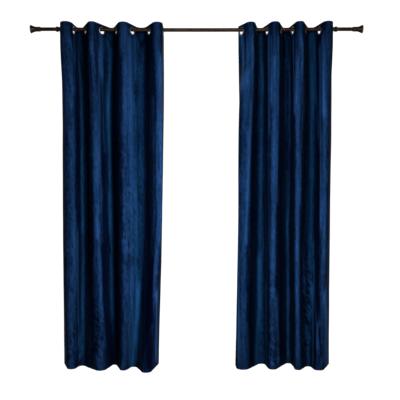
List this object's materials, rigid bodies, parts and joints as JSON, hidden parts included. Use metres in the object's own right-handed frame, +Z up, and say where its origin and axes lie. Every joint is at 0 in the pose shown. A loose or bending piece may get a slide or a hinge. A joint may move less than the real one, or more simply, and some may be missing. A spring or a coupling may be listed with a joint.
{
  "type": "pair of eyelet curtains on a rod",
  "caption": "Pair of velvet eyelet curtains hanging in deep vertical folds on a round metal rod with bead collars and trumpet finials.",
  "frame": {"origin": "on the rod's axis at mid-length, where the rod hangs between the two curtains", "axes": "+X along the rod, +Y towards the wall, -Y towards the room, +Z up"},
  "size_m": [2.068, 0.1823, 2.1429],
  "materials": {
    "velvet": "navy blue polyester velvet with a short brushed pile and a soft sheen",
    "bronze": "dark bronze lacquer, satin",
    "pewter": "pressed sheet metal, satin nickel plate"
  },
  "bodies": {
    "root": {"panel_left": "velvet", "panel_right": "velvet", "rod": "bronze", "collar_left": "bronze", "collar_right": "bronze", "finial_left": "bronze", "finial_right": "bronze", "eyelet_left_1": "pewter", "eyelet_left_2": "pewter", "eyelet_left_3": "pewter", "eyelet_left_4": "pewter", "eyelet_left_5": "pewter", "eyelet_left_6": "pewter", "eyelet_left_7": "pewter", "eyelet_left_8": "pewter", "eyelet_right_1": "pewter", "eyelet_right_2": "pewter", "eyelet_right_3": "pewter", "eyelet_right_4": "pewter", "eyelet_right_5": "pewter", "eyelet_right_6": "pewter", "eyelet_right_7": "pewter", "eyelet_right_8": "pewter"}
  },
  "joints": []
}
